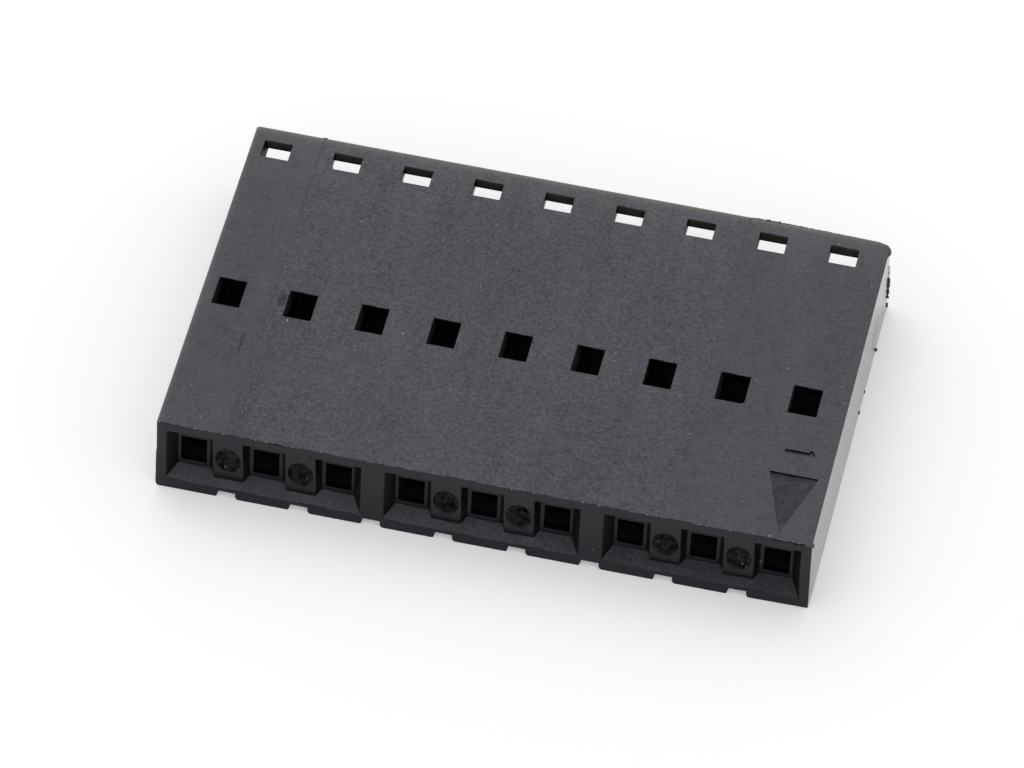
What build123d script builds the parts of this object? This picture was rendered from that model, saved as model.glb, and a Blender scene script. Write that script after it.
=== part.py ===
from build123d import *
import os

# Crimp connector housing: nine circuits in one row, moulded in one piece from a glass filled
# thermoplastic. Crimped terminals slide in from the rear, each into a cavity of its own, and the
# pins of a header go in at the mating face. No terminals are fitted.
#
# Frame: millimetres, +Z up, with the origin at the middle of the underside. The mating face
# looks along -Y and the wire entries look along +Y. Circuit 1 is at the +X end.

# Circuits: three groups of three share one pitch.
pitch = 2.54
circuits = 9
circuits_per_group = 3
groups = circuits // circuits_per_group
group_pitch = circuits_per_group * pitch

# Body block.
body_width = circuits * pitch - 0.11
body_depth = 14.5
body_height = 3.15
rear_corner_radius = 0.12

# Terminal cavities, open at the rear.
cavity_width = 1.90
top_wall = 0.38
floor_wall = 0.46
cavity_front = 1.30
cavity_corner_radius = 0.12
wire_entry_chamfer = 0.14

# Openings in the top wall, one of each per circuit. Both rows stand a little to the side of
# the cavities' middles, where the terminals carry their locking tangs.
opening_width = 0.97
opening_shift = -0.28
window_front = 5.80
window_length = 1.26
slot_front = 13.11
slot_length = 0.78

# Mating face: one shallow recess per group, with sloped ends and a sloped sill.
recess_width = 6.83
recess_depth = 0.44
recess_end_run = 0.33
band_height = 0.39
sill_front = 0.42
sill_rear = 0.79

# Pin entries, in the floor of the recesses.
pin_entry_width = 0.88
pin_entry_height = 1.16
pin_entry_sill = 0.99

# Posts between the circuits of one group, with chamfered sides and a face that leans back
# towards the foot, where its left corner is rounded. Each carries a shallow oval core mark.
post_face_width = 1.05
post_side_run = 0.17
post_foot_setback = 0.25
post_foot_radius = 0.15
post_foot_level = 0.60
core_mark_width = 0.87
core_mark_height = 1.23
core_mark_level = 1.70
core_mark_floor = 0.32

# Grooves under the part at the circuit boundaries leave one foot under each circuit.
groove_width = 0.62
groove_draft = 0.07
groove_depth = 0.26
foot_radius = 0.13

# Circuit 1 triangle in the top, pointing at the mating face.
triangle_base = 1.69
triangle_length = 2.72
triangle_tip_gap = 0.28
triangle_inset = 1.22
triangle_depth = 0.07

# Gate mark on the +X end.
gate_diameter = 1.30
gate_depth = 0.02
gate_from_middle = 4.60
gate_level = 1.30

front_face = -body_depth / 2
rear_face = body_depth / 2
recess_floor = front_face + recess_depth
band_underside = body_height - band_height
cavity_roof = body_height - top_wall
mating_plane = Plane.XZ.offset(-front_face)
recess_plane = Plane.XZ.offset(-recess_floor)
top_plane = Plane.XY.offset(body_height)
post_x_offsets = [pitch * (i - (circuits_per_group - 2) / 2) for i in range(circuits_per_group - 1)]


def rectangle_between(width, low, high):
    """Rectangle centred in X that stands between two levels of an upright plane."""
    with Locations((0, (low + high) / 2)):
        Rectangle(width, high - low)


# Shape of the air in front of one group, before the posts are left standing in it.
with BuildPart() as recess_air:
    with BuildSketch(mating_plane):
        rectangle_between(recess_width, sill_front, band_underside)
    with BuildSketch(recess_plane):
        rectangle_between(recess_width - 2 * recess_end_run, sill_rear, band_underside)
    loft()

# One post: a trapezoid in plan, lofted from the foot to the band above.
post_root = post_face_width / 2 + post_side_run


def post_section(setback):
    """Plan section of a post whose face stands back from the mating face by setback."""
    face_line = front_face + setback
    half_face = post_face_width / 2
    Polygon(
        (-post_root, recess_floor),
        (-half_face, face_line),
        (half_face, face_line),
        (post_root, recess_floor),
        align=None,
    )


with BuildPart() as post:
    with BuildSketch(Plane.XY.offset(sill_front)):
        post_section(post_foot_setback)
    with BuildSketch(Plane.XY.offset(band_underside)):
        post_section(0)
    loft(ruled=True)
    with BuildSketch(mating_plane):
        with Locations((-post_face_width / 2, post_foot_level)):
            Rectangle(2 * post_root, 2 * post_foot_radius, align=(Align.MAX, Align.MIN))
            Rectangle(post_foot_radius, post_foot_radius, align=Align.MIN)
        with Locations((post_foot_radius - post_face_width / 2, post_foot_level + post_foot_radius)):
            Circle(post_foot_radius, mode=Mode.SUBTRACT)
    extrude(amount=-recess_depth, mode=Mode.SUBTRACT)

with BuildPart() as mating_recess:
    add(recess_air.part)
    with Locations(*[(x, 0, 0) for x in post_x_offsets]):
        add(post.part, mode=Mode.SUBTRACT)

# One terminal cavity with its pin entry, open at the rear.
with BuildPart() as terminal_cavity:
    with BuildSketch(Plane.XZ.offset(-rear_face)):
        rectangle_between(cavity_width, floor_wall, cavity_roof)
        fillet(vertices(), cavity_corner_radius)
    extrude(amount=body_depth - cavity_front)
    with BuildSketch(recess_plane):
        rectangle_between(pin_entry_width, pin_entry_sill, pin_entry_sill + pin_entry_height)
    extrude(amount=recess_depth - cavity_front)

# One window and one rear slot in the top wall.
with BuildPart() as top_openings:
    with BuildSketch(top_plane):
        for start, length in ((window_front, window_length), (slot_front, slot_length)):
            with Locations((opening_shift, front_face + start + length / 2)):
                Rectangle(opening_width, length)
    extrude(amount=-top_wall)

with BuildPart() as housing:
    # Body block, with its rear corners rounded.
    with BuildSketch():
        Rectangle(body_width, body_depth)
    extrude(amount=body_height)
    fillet(housing.edges().filter_by(Axis.Z).group_by(Axis.Y)[-1], rear_corner_radius)

    # Grooves along the underside, and a rounded lower left edge on every foot.
    with BuildSketch(mating_plane):
        with GridLocations(pitch, 1, circuits - 1, 1):
            Polygon(
                (-groove_width / 2, 0),
                (groove_width / 2, 0),
                (groove_width / 2, groove_depth),
                (groove_draft - groove_width / 2, groove_depth),
                align=None,
            )
    extrude(amount=-body_depth, mode=Mode.SUBTRACT)
    foot_edges = housing.edges().filter_by(Axis.Y).group_by(Axis.Z)[0].sort_by(Axis.X)
    fillet(foot_edges[::2], foot_radius)

    # Cavities and top openings, one per circuit.
    with GridLocations(pitch, 1, circuits, 1):
        add(terminal_cavity.part, mode=Mode.SUBTRACT)
        add(top_openings.part, mode=Mode.SUBTRACT)

    # Wire entries, chamfered all round to lead the terminals in.
    entry_rims = housing.faces().sort_by(Axis.Y)[-1].inner_wires()
    chamfer([edge for rim in entry_rims for edge in rim.edges()], wire_entry_chamfer)

    # Recesses of the mating face, one per group, with the posts left standing in them.
    with GridLocations(group_pitch, 1, groups, 1):
        add(mating_recess.part, mode=Mode.SUBTRACT)

    # Core marks in the posts' faces.
    with BuildSketch(mating_plane):
        with GridLocations(group_pitch, 1, groups, 1):
            with Locations(*[(x, core_mark_level) for x in post_x_offsets]):
                Ellipse(core_mark_width / 2, core_mark_height / 2)
    extrude(amount=-core_mark_floor, mode=Mode.SUBTRACT)

    # Circuit 1 triangle.
    triangle_x = body_width / 2 - triangle_inset
    triangle_tip = front_face + triangle_tip_gap
    with BuildSketch(top_plane):
        Polygon(
            (triangle_x - triangle_base / 2, triangle_tip + triangle_length),
            (triangle_x, triangle_tip),
            (triangle_x + triangle_base / 2, triangle_tip + triangle_length),
            align=None,
        )
    extrude(amount=-triangle_depth, mode=Mode.SUBTRACT)

    # Gate mark on the end beside circuit 1.
    with BuildSketch(Plane.YZ.offset(body_width / 2)):
        with Locations((gate_from_middle, gate_level)):
            Circle(gate_diameter / 2)
    extrude(amount=-gate_depth, mode=Mode.SUBTRACT)

os.makedirs("parts", exist_ok=True)
housing.part.label = "housing"
export_step(housing.part, "parts/housing.step")
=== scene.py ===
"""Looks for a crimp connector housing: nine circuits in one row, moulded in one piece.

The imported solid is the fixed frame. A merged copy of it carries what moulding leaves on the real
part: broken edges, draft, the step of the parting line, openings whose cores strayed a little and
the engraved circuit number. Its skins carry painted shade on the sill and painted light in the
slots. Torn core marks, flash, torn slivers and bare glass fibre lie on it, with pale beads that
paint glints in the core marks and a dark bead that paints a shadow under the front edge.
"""

import logging
import math
import random
from dataclasses import dataclass
from enum import Enum
from functools import cache

import bmesh
import bpy
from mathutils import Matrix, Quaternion, Vector
from mathutils.bvhtree import BVHTree

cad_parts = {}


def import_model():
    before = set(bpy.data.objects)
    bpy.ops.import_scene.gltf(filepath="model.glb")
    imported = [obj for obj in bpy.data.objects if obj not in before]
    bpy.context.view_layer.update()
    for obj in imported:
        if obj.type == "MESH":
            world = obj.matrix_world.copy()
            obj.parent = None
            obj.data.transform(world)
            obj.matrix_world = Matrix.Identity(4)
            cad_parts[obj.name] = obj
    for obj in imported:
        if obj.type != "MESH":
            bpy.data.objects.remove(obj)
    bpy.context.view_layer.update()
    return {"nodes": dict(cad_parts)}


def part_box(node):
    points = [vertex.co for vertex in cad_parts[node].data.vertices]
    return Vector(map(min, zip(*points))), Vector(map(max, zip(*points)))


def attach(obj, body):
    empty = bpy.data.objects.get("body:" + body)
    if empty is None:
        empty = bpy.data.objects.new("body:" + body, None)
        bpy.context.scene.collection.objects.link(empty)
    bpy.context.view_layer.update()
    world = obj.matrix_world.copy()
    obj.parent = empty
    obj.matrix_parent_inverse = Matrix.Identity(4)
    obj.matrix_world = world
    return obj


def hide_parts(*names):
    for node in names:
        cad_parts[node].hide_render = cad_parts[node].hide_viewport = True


LOG = logging.getLogger("housing")
MM = 0.001
# How near a corner lies to a wall that it belongs to, in mm.
NEAR = 0.02
# Least share of a face's normal along an axis that it looks straight along, or sideways.
STRAIGHT = 0.9
SIDEWAYS = 0.7

Triple = tuple[float, float, float]


def linear(colour: str) -> tuple[float, float, float, float]:
    """Turn an sRGB hex colour into linear light.

    Args:
        colour: Six hex digits.

    Returns:
        Red, green, blue and alpha, as shader sockets take them.
    """
    parts = [int(colour[i : i + 2], 16) / 255 for i in (0, 2, 4)]
    light = [p / 12.92 if p <= 0.04045 else ((p + 0.055) / 1.055) ** 2.4 for p in parts]
    return (light[0], light[1], light[2], 1.0)


@cache
def box_mm() -> tuple[Vector, Vector]:
    """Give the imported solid's lowest and highest corner, in mm."""
    low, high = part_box("housing")
    return low / MM, high / MM


def add_node(
    tree: bpy.types.NodeTree,
    kind: str,
    links: dict[str | int, object] | None = None,
    **settings: object,
) -> bpy.types.Node:
    """Add one node to a tree with its settings, values and links.

    Args:
        tree: The shader or geometry tree that gets the node.
        kind: Blender's identifier of the node type.
        links: Input, by name or number, to a plain value, a source socket, a node for its first
            output, or a list of these.
        **settings: Properties of the node itself.

    Returns:
        The new node.
    """
    node = tree.nodes.new(kind)
    for key, value in settings.items():
        setattr(node, key, value)
    for key, value in (links or {}).items():
        for item in value if isinstance(value, list) else [value]:
            source = item.outputs[0] if isinstance(item, bpy.types.Node) else item
            if isinstance(source, bpy.types.NodeSocket):
                tree.links.new(source, node.inputs[key])
            else:
                node.inputs[key].default_value = source
    return node


def empty_tree(owner: bpy.types.Material | bpy.types.World) -> bpy.types.NodeTree:
    """Give a material or the world an empty tree.

    Args:
        owner: The material or world.

    Returns:
        Its tree, with no node left in it.
    """
    owner.use_nodes = True
    owner.node_tree.nodes.clear()
    return owner.node_tree


def new_object(name: str, mesh: bpy.types.Mesh) -> bpy.types.Object:
    """Link a mesh into the scene as an object at the origin.

    Args:
        name: The object's name.
        mesh: Its mesh.

    Returns:
        The object.
    """
    obj = bpy.data.objects.new(name, mesh)
    bpy.context.scene.collection.objects.link(obj)
    return obj


def written(work: bmesh.types.BMesh, mesh: bpy.types.Mesh) -> bpy.types.Mesh:
    """Write a working mesh out to a mesh and free it.

    Args:
        work: The working mesh, which is of no use afterwards.
        mesh: The mesh that takes its shape.

    Returns:
        The mesh.
    """
    work.to_mesh(mesh)
    work.free()
    return mesh


def frozen(obj: bpy.types.Object) -> bpy.types.Object:
    """Replace an object's mesh by its evaluated one and take its modifiers off.

    Args:
        obj: The object whose modifiers give the finished shape.

    Returns:
        The same object, now a plain mesh.
    """
    graph = bpy.context.evaluated_depsgraph_get()
    mesh = bpy.data.meshes.new_from_object(obj.evaluated_get(graph))
    obj.modifiers.clear()
    obj.data = mesh
    return obj


@dataclass(frozen=True)
class Finish:
    """A surface whose colour wanders between a dense shade and a pale one.

    Args:
        name: The material's name.
        colour: The dense shade, in sRGB.
        pale: The pale shade, in sRGB.
        roughness: Of the surface.
        specular: Share of the plain reflection that it keeps, 0.5 being all of it.
        ior: Its index of refraction.
    """

    name: str
    colour: str
    pale: str
    roughness: float = 0.6
    specular: float = 0.5
    ior: float = 1.5

    def material(self) -> bpy.types.Material:
        """Build the material; its patterns follow Object coordinates in real millimetres.

        Returns:
            The material.
        """
        made = bpy.data.materials.new(self.name)
        tree = empty_tree(made)
        place = add_node(tree, "ShaderNodeTexCoord").outputs["Object"]
        share, own_inputs = self.pattern(tree, place)
        paint = add_node(
            tree,
            "ShaderNodeMix",
            {0: share, 6: linear(self.colour), 7: linear(self.pale)},
            data_type="RGBA",
        ).outputs[2]
        inputs = {
            "Base Color": self.rubbed(tree, place, paint),
            "Roughness": self.roughness,
            "IOR": self.ior,
            "Specular IOR Level": self.specular,
        }
        surface = add_node(tree, "ShaderNodeBsdfPrincipled", inputs | own_inputs)
        add_node(tree, "ShaderNodeOutputMaterial", {"Surface": surface})
        return made

    def pattern(
        self, tree: bpy.types.NodeTree, place: bpy.types.NodeSocket
    ) -> tuple[bpy.types.Node, dict[str, object]]:
        """Give the share of the pale shade, and any inputs of the shader's own."""
        raise NotImplementedError

    def rubbed(
        self, tree: bpy.types.NodeTree, place: bpy.types.NodeSocket, paint: bpy.types.NodeSocket
    ) -> bpy.types.NodeSocket:
        """Give the paint as wear leaves it; a plain finish has none."""
        return paint


@dataclass(frozen=True)
class PatchyFinish(Finish):
    """A finish with patches of one size.

    Args:
        patch: Size of the patches, in mm.
        detail: How finely their edges break up.
        dense_to: Level of the pattern up to which the dense shade is plain.
        pale_from: Level from which the pale shade is.
    """

    patch: float = 1.0
    detail: float = 1.0
    dense_to: float = 0.4
    pale_from: float = 0.7

    def pattern(
        self, tree: bpy.types.NodeTree, place: bpy.types.NodeSocket
    ) -> tuple[bpy.types.Node, dict[str, object]]:
        """Spread one noise over the patches.

        Args:
            tree: The material's tree.
            place: Object coordinates.

        Returns:
            The share of the pale shade, and no inputs of its own.
        """
        links = {"Vector": place, "Scale": 1 / (self.patch * MM), "Detail": self.detail}
        clouds = add_node(tree, "ShaderNodeTexNoise", links)
        links = {"Value": clouds, "From Min": self.dense_to, "From Max": self.pale_from}
        return add_node(tree, "ShaderNodeMapRange", links), {}


@dataclass(frozen=True)
class TornAndShadowThermoplastic(PatchyFinish):
    """Glass filled thermoplastic torn open: near black, with facets that catch the light; it also
    makes the dark bead of painted shadow under the front edge.
    """

    name: str = "torn_and_shadow_thermoplastic"
    colour: str = "020203"
    pale: str = "28282e"
    roughness: float = 0.42
    specular: float = 0.14
    patch: float = 0.22
    detail: float = 1.5
    dense_to: float = 0.44


@dataclass(frozen=True)
class GlassFibreEnds(PatchyFinish):
    """Ends and chips of glass fibre bare in the skin: pale, a little glossy, some dimmer."""

    name: str = "bare_glass_fibre"
    colour: str = "6a6a70"
    pale: str = "d8d8dc"
    roughness: float = 0.4
    ior: float = 1.55
    patch: float = 0.8
    dense_to: float = 0.42
    pale_from: float = 0.66


@dataclass(frozen=True)
class StainOrShade:
    """A spot where a stain of mould residue, or painted shade, darkens a skin; with a negative
    strength it is paler. Sizes are in mm.
    """

    x: float
    y: float
    half_width: float
    half_length: float
    strength: float


@dataclass(frozen=True)
class MouldedThermoplastic(Finish):
    """Black glass filled thermoplastic as one region of the mould leaves it.

    A spark eroded region prints a fine matt grain, so the skin there looks dark grey. A polished
    region leaves it almost black, with only the reflection of the studio in it.

    Args:
        coat: Share of the skin that is glossy resin with no fibre in it.
        grain: Pitch of the grain, in mm. The real one is about half of this, too fine to show.
        relief: Height of the grain, in mm.
        mottle: How far the grain swings the paint between the two colours.
        blotch: How far half millimetre clouds swing it.
        flow: How far flow marks along the part swing it.
        balance: Where the paint lies on average, 0 being the dense colour and 1 the pale one.
        rub: How pale the skin is rubbed along the rear and left edges.
        stains_and_shade: Spots on the skin: stains, and painted shade.
    """

    colour: str = "08081d"
    pale: str = "5e5e66"
    coat: float = 0.0
    grain: float = 0.12
    relief: float = 0.012
    mottle: float = 0.34
    blotch: float = 0.075
    flow: float = 0.11
    balance: float = 0.5
    rub: float = 0.0
    stains_and_shade: tuple[StainOrShade, ...] = ()

    def pattern(
        self, tree: bpy.types.NodeTree, place: bpy.types.NodeSocket
    ) -> tuple[bpy.types.Node, dict[str, object]]:
        """Add up grain, clouds, flow marks, stains and painted shade; the grain also roughens the
        skin.

        Args:
            tree: The material's tree.
            place: Object coordinates.

        Returns:
            The share of the pale colour, and the shader's inputs that follow the grain.
        """
        drawn = add_node(tree, "ShaderNodeMapping", {"Vector": place, "Scale": (1.0, 0.2, 1.0)})
        patterns = [
            add_node(
                tree,
                "ShaderNodeTexNoise",
                {"Vector": source, "Scale": 1 / (size * MM), "Detail": detail, "Roughness": 0.55},
            )
            for source, size, detail in (
                (place, self.grain, 1.5),
                (place, 0.5, 2.0),
                (drawn, 1.3, 3.0),
            )
        ]
        # The middle half of each noise spreads over its swing, and of the grain over roughness.
        ranges = [(-swing, swing) for swing in (self.mottle, self.blotch, self.flow)]
        ranges.append((self.roughness - 0.06, self.roughness + 0.06))
        spread = [
            add_node(
                tree,
                "ShaderNodeMapRange",
                {"Value": noise, "From Min": 0.25, "From Max": 0.75, "To Min": low, "To Max": high},
                clamp=False,
            )
            for noise, (low, high) in zip(patterns + patterns[:1], ranges)
        ]
        share = self.balance
        for swing in spread[:3]:
            share = add_node(tree, "ShaderNodeMath", {0: swing, 1: share}, operation="ADD")
        grain = patterns[0]
        for stain_or_shade in self.stains_and_shade:
            share = self.stained_or_shaded(tree, place, grain, share, stain_or_shade)
        bump = {"Height": grain, "Distance": self.relief * MM, "Strength": 1.0}
        return share, {
            "Roughness": spread[3],
            "Coat Weight": self.coat,
            "Coat Roughness": 0.08,
            "Normal": add_node(tree, "ShaderNodeBump", bump),
        }

    @staticmethod
    def stained_or_shaded(
        tree: bpy.types.NodeTree,
        place: bpy.types.NodeSocket,
        grain: bpy.types.Node,
        share: bpy.types.Node,
        stain_or_shade: StainOrShade,
    ) -> bpy.types.Node:
        """Darken one spot, a stain or painted shade, with an edge that follows the grain.

        Args:
            tree: The material's tree.
            place: Object coordinates.
            grain: The grain, which breaks up the edge of the spot.
            share: The share of the pale colour so far.
            stain_or_shade: The spot.

        Returns:
            The share with the spot in it.
        """
        links = {
            "Vector": place,
            "Location": (stain_or_shade.x * MM, stain_or_shade.y * MM, 0.0),
            "Scale": (stain_or_shade.half_width * MM, stain_or_shade.half_length * MM, 1.0),
        }
        centred = add_node(tree, "ShaderNodeMapping", links, vector_type="TEXTURE")
        measure = add_node(tree, "ShaderNodeVectorMath", {0: centred}, operation="LENGTH")
        links = {0: measure.outputs["Value"], 1: grain}
        edge = add_node(tree, "ShaderNodeMath", links, operation="ADD")
        fade = {"From Min": 0.9, "From Max": 1.5, "To Min": stain_or_shade.strength, "To Max": 0.0}
        links = {"Value": edge} | fade
        spot = add_node(tree, "ShaderNodeMapRange", links)
        return add_node(tree, "ShaderNodeMath", {0: share, 1: spot}, operation="SUBTRACT")

    def rubbed(
        self, tree: bpy.types.NodeTree, place: bpy.types.NodeSocket, paint: bpy.types.NodeSocket
    ) -> bpy.types.NodeSocket:
        """Rub the paint paler towards the rear and left edges.

        Args:
            tree: The material's tree.
            place: Object coordinates.
            paint: The colour so far.

        Returns:
            The rubbed colour.
        """
        if not self.rub:
            return paint
        low, high = box_mm()
        parts = add_node(tree, "ShaderNodeSeparateXYZ", {0: place}).outputs
        worn = 0.0
        # Each rub: its axis, its edge, how far it reaches from there, and its share.
        for axis, edge, reach, share in (
            (1, high.y, -0.8, 0.76),
            (1, high.y, -9.0, 0.18),
            (0, low.x, 0.65, 0.45),
        ):
            links = {"Value": parts[axis], "From Min": (edge + reach) * MM, "From Max": edge * MM}
            near = add_node(tree, "ShaderNodeMapRange", links)
            near = add_node(tree, "ShaderNodeMath", {0: near, 1: 7.0}, operation="POWER")
            links = {0: near, 1: share * self.rub, 2: worn}
            worn = add_node(tree, "ShaderNodeMath", links, operation="MULTIPLY_ADD")
        links = {0: worn, 6: paint, 7: linear("a3a198")}
        return add_node(tree, "ShaderNodeMix", links, data_type="RGBA").outputs[2]


class Skin(Enum):
    """How each region of the mould made its surface, with painted shade in the sill's skin and
    painted light in the slot's, in the order of the material slots.
    """

    ERODED = MouldedThermoplastic(
        "coarse_eroded_thermoplastic", rub=0.6, stains_and_shade=(StainOrShade(-8.57, -0.65, 0.2, 0.55, 0.4),)
    )
    INSERT = MouldedThermoplastic(
        "fine_eroded_thermoplastic",
        mottle=0.22,
        flow=0.08,
        rub=0.6,
        stains_and_shade=(StainOrShade(-9.47, -3.0, 0.06, 0.75, 0.36),),
    )
    WITNESS = MouldedThermoplastic("joint_witness_thermoplastic", pale="50505a")
    TRIANGLE = MouldedThermoplastic(
        "ground_insert_thermoplastic",
        mottle=0.2,
        blotch=0.2,
        balance=0.13,
        stains_and_shade=(StainOrShade(10.155, -6.95, 0.6, 0.55, -0.36),),
    )
    SILL = MouldedThermoplastic(
        "sill_eroded_painted_shade_thermoplastic",
        pale="525259",
        mottle=0.15,
        # Painted shade: the sill darker towards the +X end, and along the whole row about its rear.
        stains_and_shade=(StainOrShade(11.0, -7.0, 12.0, 40.0, 0.27), StainOrShade(0.0, -6.75, 60.0, 0.5, 0.13)),
    )
    SMOOTH = MouldedThermoplastic(
        "smooth_moulded_thermoplastic", "040408", "0e0e22", 0.34, specular=0.32, relief=0.003
    )
    CORE = MouldedThermoplastic(
        "polished_core_thermoplastic", "040406", "0e0e1c", 0.34, specular=0.24, relief=0.003
    )
    SIDE = MouldedThermoplastic(
        "drawn_core_thermoplastic", "020203", "08080a", 0.4, specular=0.2, relief=0.003
    )
    # Painted light: paler than the cavity's skin, for the light that falls on the slots' walls.
    SLOT = MouldedThermoplastic(
        "slot_painted_light_thermoplastic", "222220", "484844", 0.6, specular=0.2, relief=0.003
    )
    CAVITY = MouldedThermoplastic(
        "cavity_core_thermoplastic", "161618", "222224", 0.45, specular=0.3, relief=0.004
    )
    GROUND = MouldedThermoplastic(
        "ground_tool_thermoplastic", "08080a", "1c1c20", 0.16, coat=0.25, relief=0.001
    )
    GATE = MouldedThermoplastic(
        "cut_gate_thermoplastic", "08080a", "1c1c20", 0.2, coat=0.15, relief=0.002
    )


@dataclass(frozen=True)
class OpeningRow:
    """How far the walls of a row of openings stray, for each circuit. Sizes are in mm.

    Args:
        start: Where the row starts, from the mating face.
        end: Where it ends.
        front: How far the front walls stray to the rear.
        rear: How far the rear walls do.
        left: How far the left walls stray to the right.
        right: How far the right walls do.
        left_foot: How much further the foot of the left walls strays.
        rear_foot: How much further the foot of the rear walls strays.
    """

    start: float
    end: float
    front: tuple[float, ...]
    rear: tuple[float, ...]
    left: tuple[float, ...]
    right: tuple[float, ...]
    left_foot: tuple[float, ...]
    rear_foot: tuple[float, ...] = (0.0,) * 9

    def stray(
        self, circuit: int, across: float, half: float, from_front: float, at_foot: bool
    ) -> Vector:
        """Tell how far a corner of an opening strays.

        Args:
            circuit: Its circuit, counted from the left.
            across: Its place from the middle of the opening.
            half: Half the opening's width.
            from_front: Its place from the mating face.
            at_foot: Whether it is at the foot of the wall.

        Returns:
            The way it strays: to the right, and to the rear.
        """
        way = Vector()
        if not self.start - NEAR < from_front < self.end + NEAR:
            return way
        if abs(across + half) < NEAR:
            way.x = self.left[circuit] + at_foot * self.left_foot[circuit]
        elif abs(across - half) < NEAR:
            way.x = self.right[circuit]
        if abs(from_front - self.start) < NEAR:
            way.y = self.front[circuit]
        elif abs(from_front - self.end) < NEAR:
            way.y = self.rear[circuit] + at_foot * self.rear_foot[circuit]
        return way


@dataclass
class HousingBody:
    """The moulded block itself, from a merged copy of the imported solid. Sizes are in mm."""

    pitch: float = 2.54
    circuits: int = 9
    merge: float = 0.001
    flat_angle: float = 0.5
    # Gate mark on the +X end.
    gate_from_middle: float = 4.6
    gate_level: float = 1.3
    gate_diameter: float = 1.3
    gate_sunk: float = 0.05
    # Draft of the ends and of the mating face, and the step of the parting line.
    end_reach: float = 0.08
    draft: float = 0.088
    draft_top: float = 0.013
    draft_left: float = -0.005
    parting_level: float = 1.68
    parting_step: float = 0.023
    parting_height: float = 0.3
    corner_draft: float = 0.65
    front_reach: float = 0.7
    draft_front: float = 0.03
    front_fade: float = 0.5
    foot_height: float = 0.15
    foot_flare: float = 0.06
    # Foot of the sloping recess end beside circuit 1.
    recess_end: float = 10.7
    recess_depth: float = 0.5
    recess_foot: tuple[float, float] = (0.3, 1.0)
    recess_end_lean: float = 0.05
    # Grooves under the part: how far their walls stray, counted from the left.
    groove_reach: float = 0.46
    groove_depth: float = 0.26
    groove_sag: float = 0.035
    groove_left: tuple[float, ...] = (-0.039, -0.05, -0.046, -0.042, -0.027, -0.031, 0.0, 0.018)
    groove_right: tuple[float, ...] = (-0.012, -0.01, -0.007, -0.019, 0.001, 0.017, 0.03, 0.069)
    # Openings in the top wall: the row of windows, then the row of locking slots.
    top_wall: float = 0.38
    opening_shift: float = -0.28
    opening_width: float = 0.97
    opening_rows: tuple[OpeningRow, ...] = (
        OpeningRow(
            start=5.8,
            end=7.06,
            front=(0.04, 0.04, 0.023, 0.019, 0.023, 0.025, 0.015, -0.014, -0.005),
            rear=(0.024, -0.002, -0.01, -0.019, -0.024, -0.016, -0.018, -0.009, 0.001),
            left=(0.024, 0.001, 0.012, 0.006, 0.003, -0.005, -0.013, -0.03, -0.03),
            right=(0.024, 0.013, -0.007, 0.003, -0.011, -0.012, -0.016, 0.028, 0.007),
            left_foot=(0.1, 0.11, 0.11, 0.08, 0.1, 0.16, 0.04, 0.11, 0.07),
        ),
        OpeningRow(
            start=13.11,
            end=13.89,
            front=(0.0, 0.016, 0.008, 0.008, 0.007, 0.008, 0.002, -0.038, -0.035),
            rear=(-0.003, -0.007, -0.016, -0.011, -0.021, -0.016, -0.023, -0.009, -0.004),
            left=(0.0, -0.035, -0.042, -0.042, -0.04, -0.045, -0.053, -0.015, -0.03),
            right=(0.012, 0.003, 0.001, -0.006, -0.014, -0.02, -0.031, -0.009, -0.017),
            left_foot=(0.127, 0.008, 0.015, 0.015, 0.013, 0.018, 0.026, 0.0, 0.002),
            rear_foot=(-0.025, -0.023, -0.026, -0.03, -0.05, -0.04, -0.014, -0.049, -0.055),
        ),
    )
    # The worn rear corner beside circuit 1.
    corner_reach: float = 0.75
    corner_depth: float = 0.3
    corner_foot: float = 1.0
    corner_cuts: tuple[float, ...] = (0.4, 0.6, 0.75, 0.9)
    corner_wear: float = 0.17
    # Marks of the top: joint lines of the mould insert, and the circuit number.
    insert_joints: tuple[float, float] = (-8.91, 6.38)
    joint_width: float = 0.04
    mark_depth: float = 0.12
    mark_clear: Triple = (0.2, 0.05, 2.0)
    numeral_height: float = 1.04
    numeral_stroke: float = 0.16
    numeral_foot: tuple[float, float] = (9.63, -3.22)
    numeral_depth: float = 0.085
    # Skins: how deep the recesses and the rear and lower rims go, and where the slots start.
    face_depth: float = 0.6
    rear_rim: float = 0.2
    lower_rim: float = 0.4
    slot_reach: float = 1.6
    # Broken edges.
    sharp_angle: float = 28.0
    edge_break: float = 0.035
    mark_share: float = 0.3
    edge_segments: int = 3
    stray_share: float = 0.45

    def build(self, source: bpy.types.Object) -> bpy.types.Object:
        """Copy, clean, shape, engrave, dress the block and break its edges.

        Args:
            source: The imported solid's own object, which stays as it is.

        Returns:
            The finished piece.
        """
        mesh = source.data.copy()
        mesh.name = "moulded_block"
        mesh.materials.clear()
        work = bmesh.new()
        work.from_mesh(mesh)
        self.clean(work)
        self.close_gate(work)
        self.draft_walls(work)
        self.stray_walls(work)
        self.wear_corner(work)
        block = new_object("moulded_block", written(work, mesh))
        self.engrave(block)
        slots = {skin: slot for slot, skin in enumerate(Skin)}
        for face in block.data.polygons:
            face.material_index = slots[self.skin_at(face.center / MM, face.normal)]
            face.use_smooth = False
        for skin in Skin:
            block.data.materials.append(skin.value.material())
        self.break_edges(block)
        return block

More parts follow.
